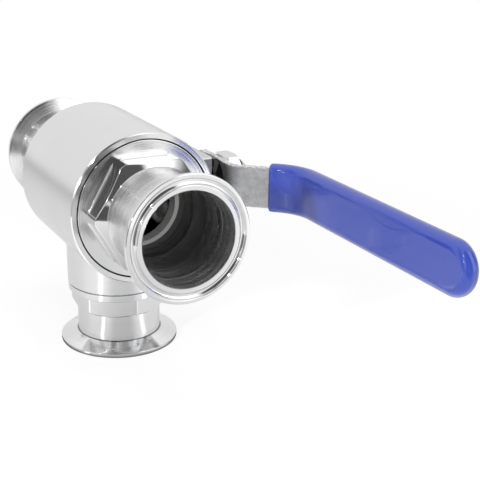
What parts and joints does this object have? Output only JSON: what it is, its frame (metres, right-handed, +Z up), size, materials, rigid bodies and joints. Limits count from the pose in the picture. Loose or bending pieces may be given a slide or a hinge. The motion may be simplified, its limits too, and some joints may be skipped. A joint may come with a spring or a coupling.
{
  "type": "three-way ball valve",
  "caption": "Hygienic three-way ball valve with clamp ferrules, a T-port ball, a stem on the side and a bent lever with a dipped grip that turns a quarter turn.",
  "frame": {"origin": "centre of the bottom port's face, which the valve stands on", "axes": "+Z up along the bottom port's axis, the run along Y with the front port towards -Y, the stem out towards +X"},
  "size_m": [0.1333, 0.277, 0.1245],
  "materials": {
    "polished_steel": "mirror polished stainless steel",
    "polished_ball": "mirror polished stainless steel",
    "turned_steel": "turned stainless steel",
    "lever_steel": "matte, lightly grained stamped stainless steel",
    "ptfe": "white PTFE",
    "grip_vinyl": "dipped vinyl, soft gloss",
    "o_ring_rubber": "black rubber"
  },
  "bodies": {
    "valve_body": {"body_shell": "polished_steel", "front_cap": "polished_steel", "rear_cap": "polished_steel", "bottom_cap": "polished_steel", "front_seat": "ptfe", "rear_seat": "ptfe", "bottom_seat": "ptfe", "front_body_seal": "ptfe", "rear_body_seal": "ptfe", "bottom_body_seal": "ptfe", "thrust_washer": "ptfe", "packing_header": "ptfe", "packing_ring_1": "ptfe", "packing_ring_2": "ptfe", "packing_follower": "turned_steel", "stop_pin": "turned_steel"},
    "lever_and_ball": {"ball": "polished_ball", "stem": "turned_steel", "stem_o_ring": "o_ring_rubber", "disc_spring_1": "turned_steel", "disc_spring_2": "turned_steel", "stem_nut": "turned_steel", "lever": "lever_steel", "grip": "grip_vinyl", "lock_washer": "turned_steel", "lever_nut": "turned_steel"}
  },
  "joints": [
    {"name": "lever_turn", "type": "hinge", "parent": "valve_body", "child": "lever_and_ball", "pos_m": [0, 0, 0.085], "axis": [-1, 0, 0], "range_deg": [0, 90]}
  ]
}
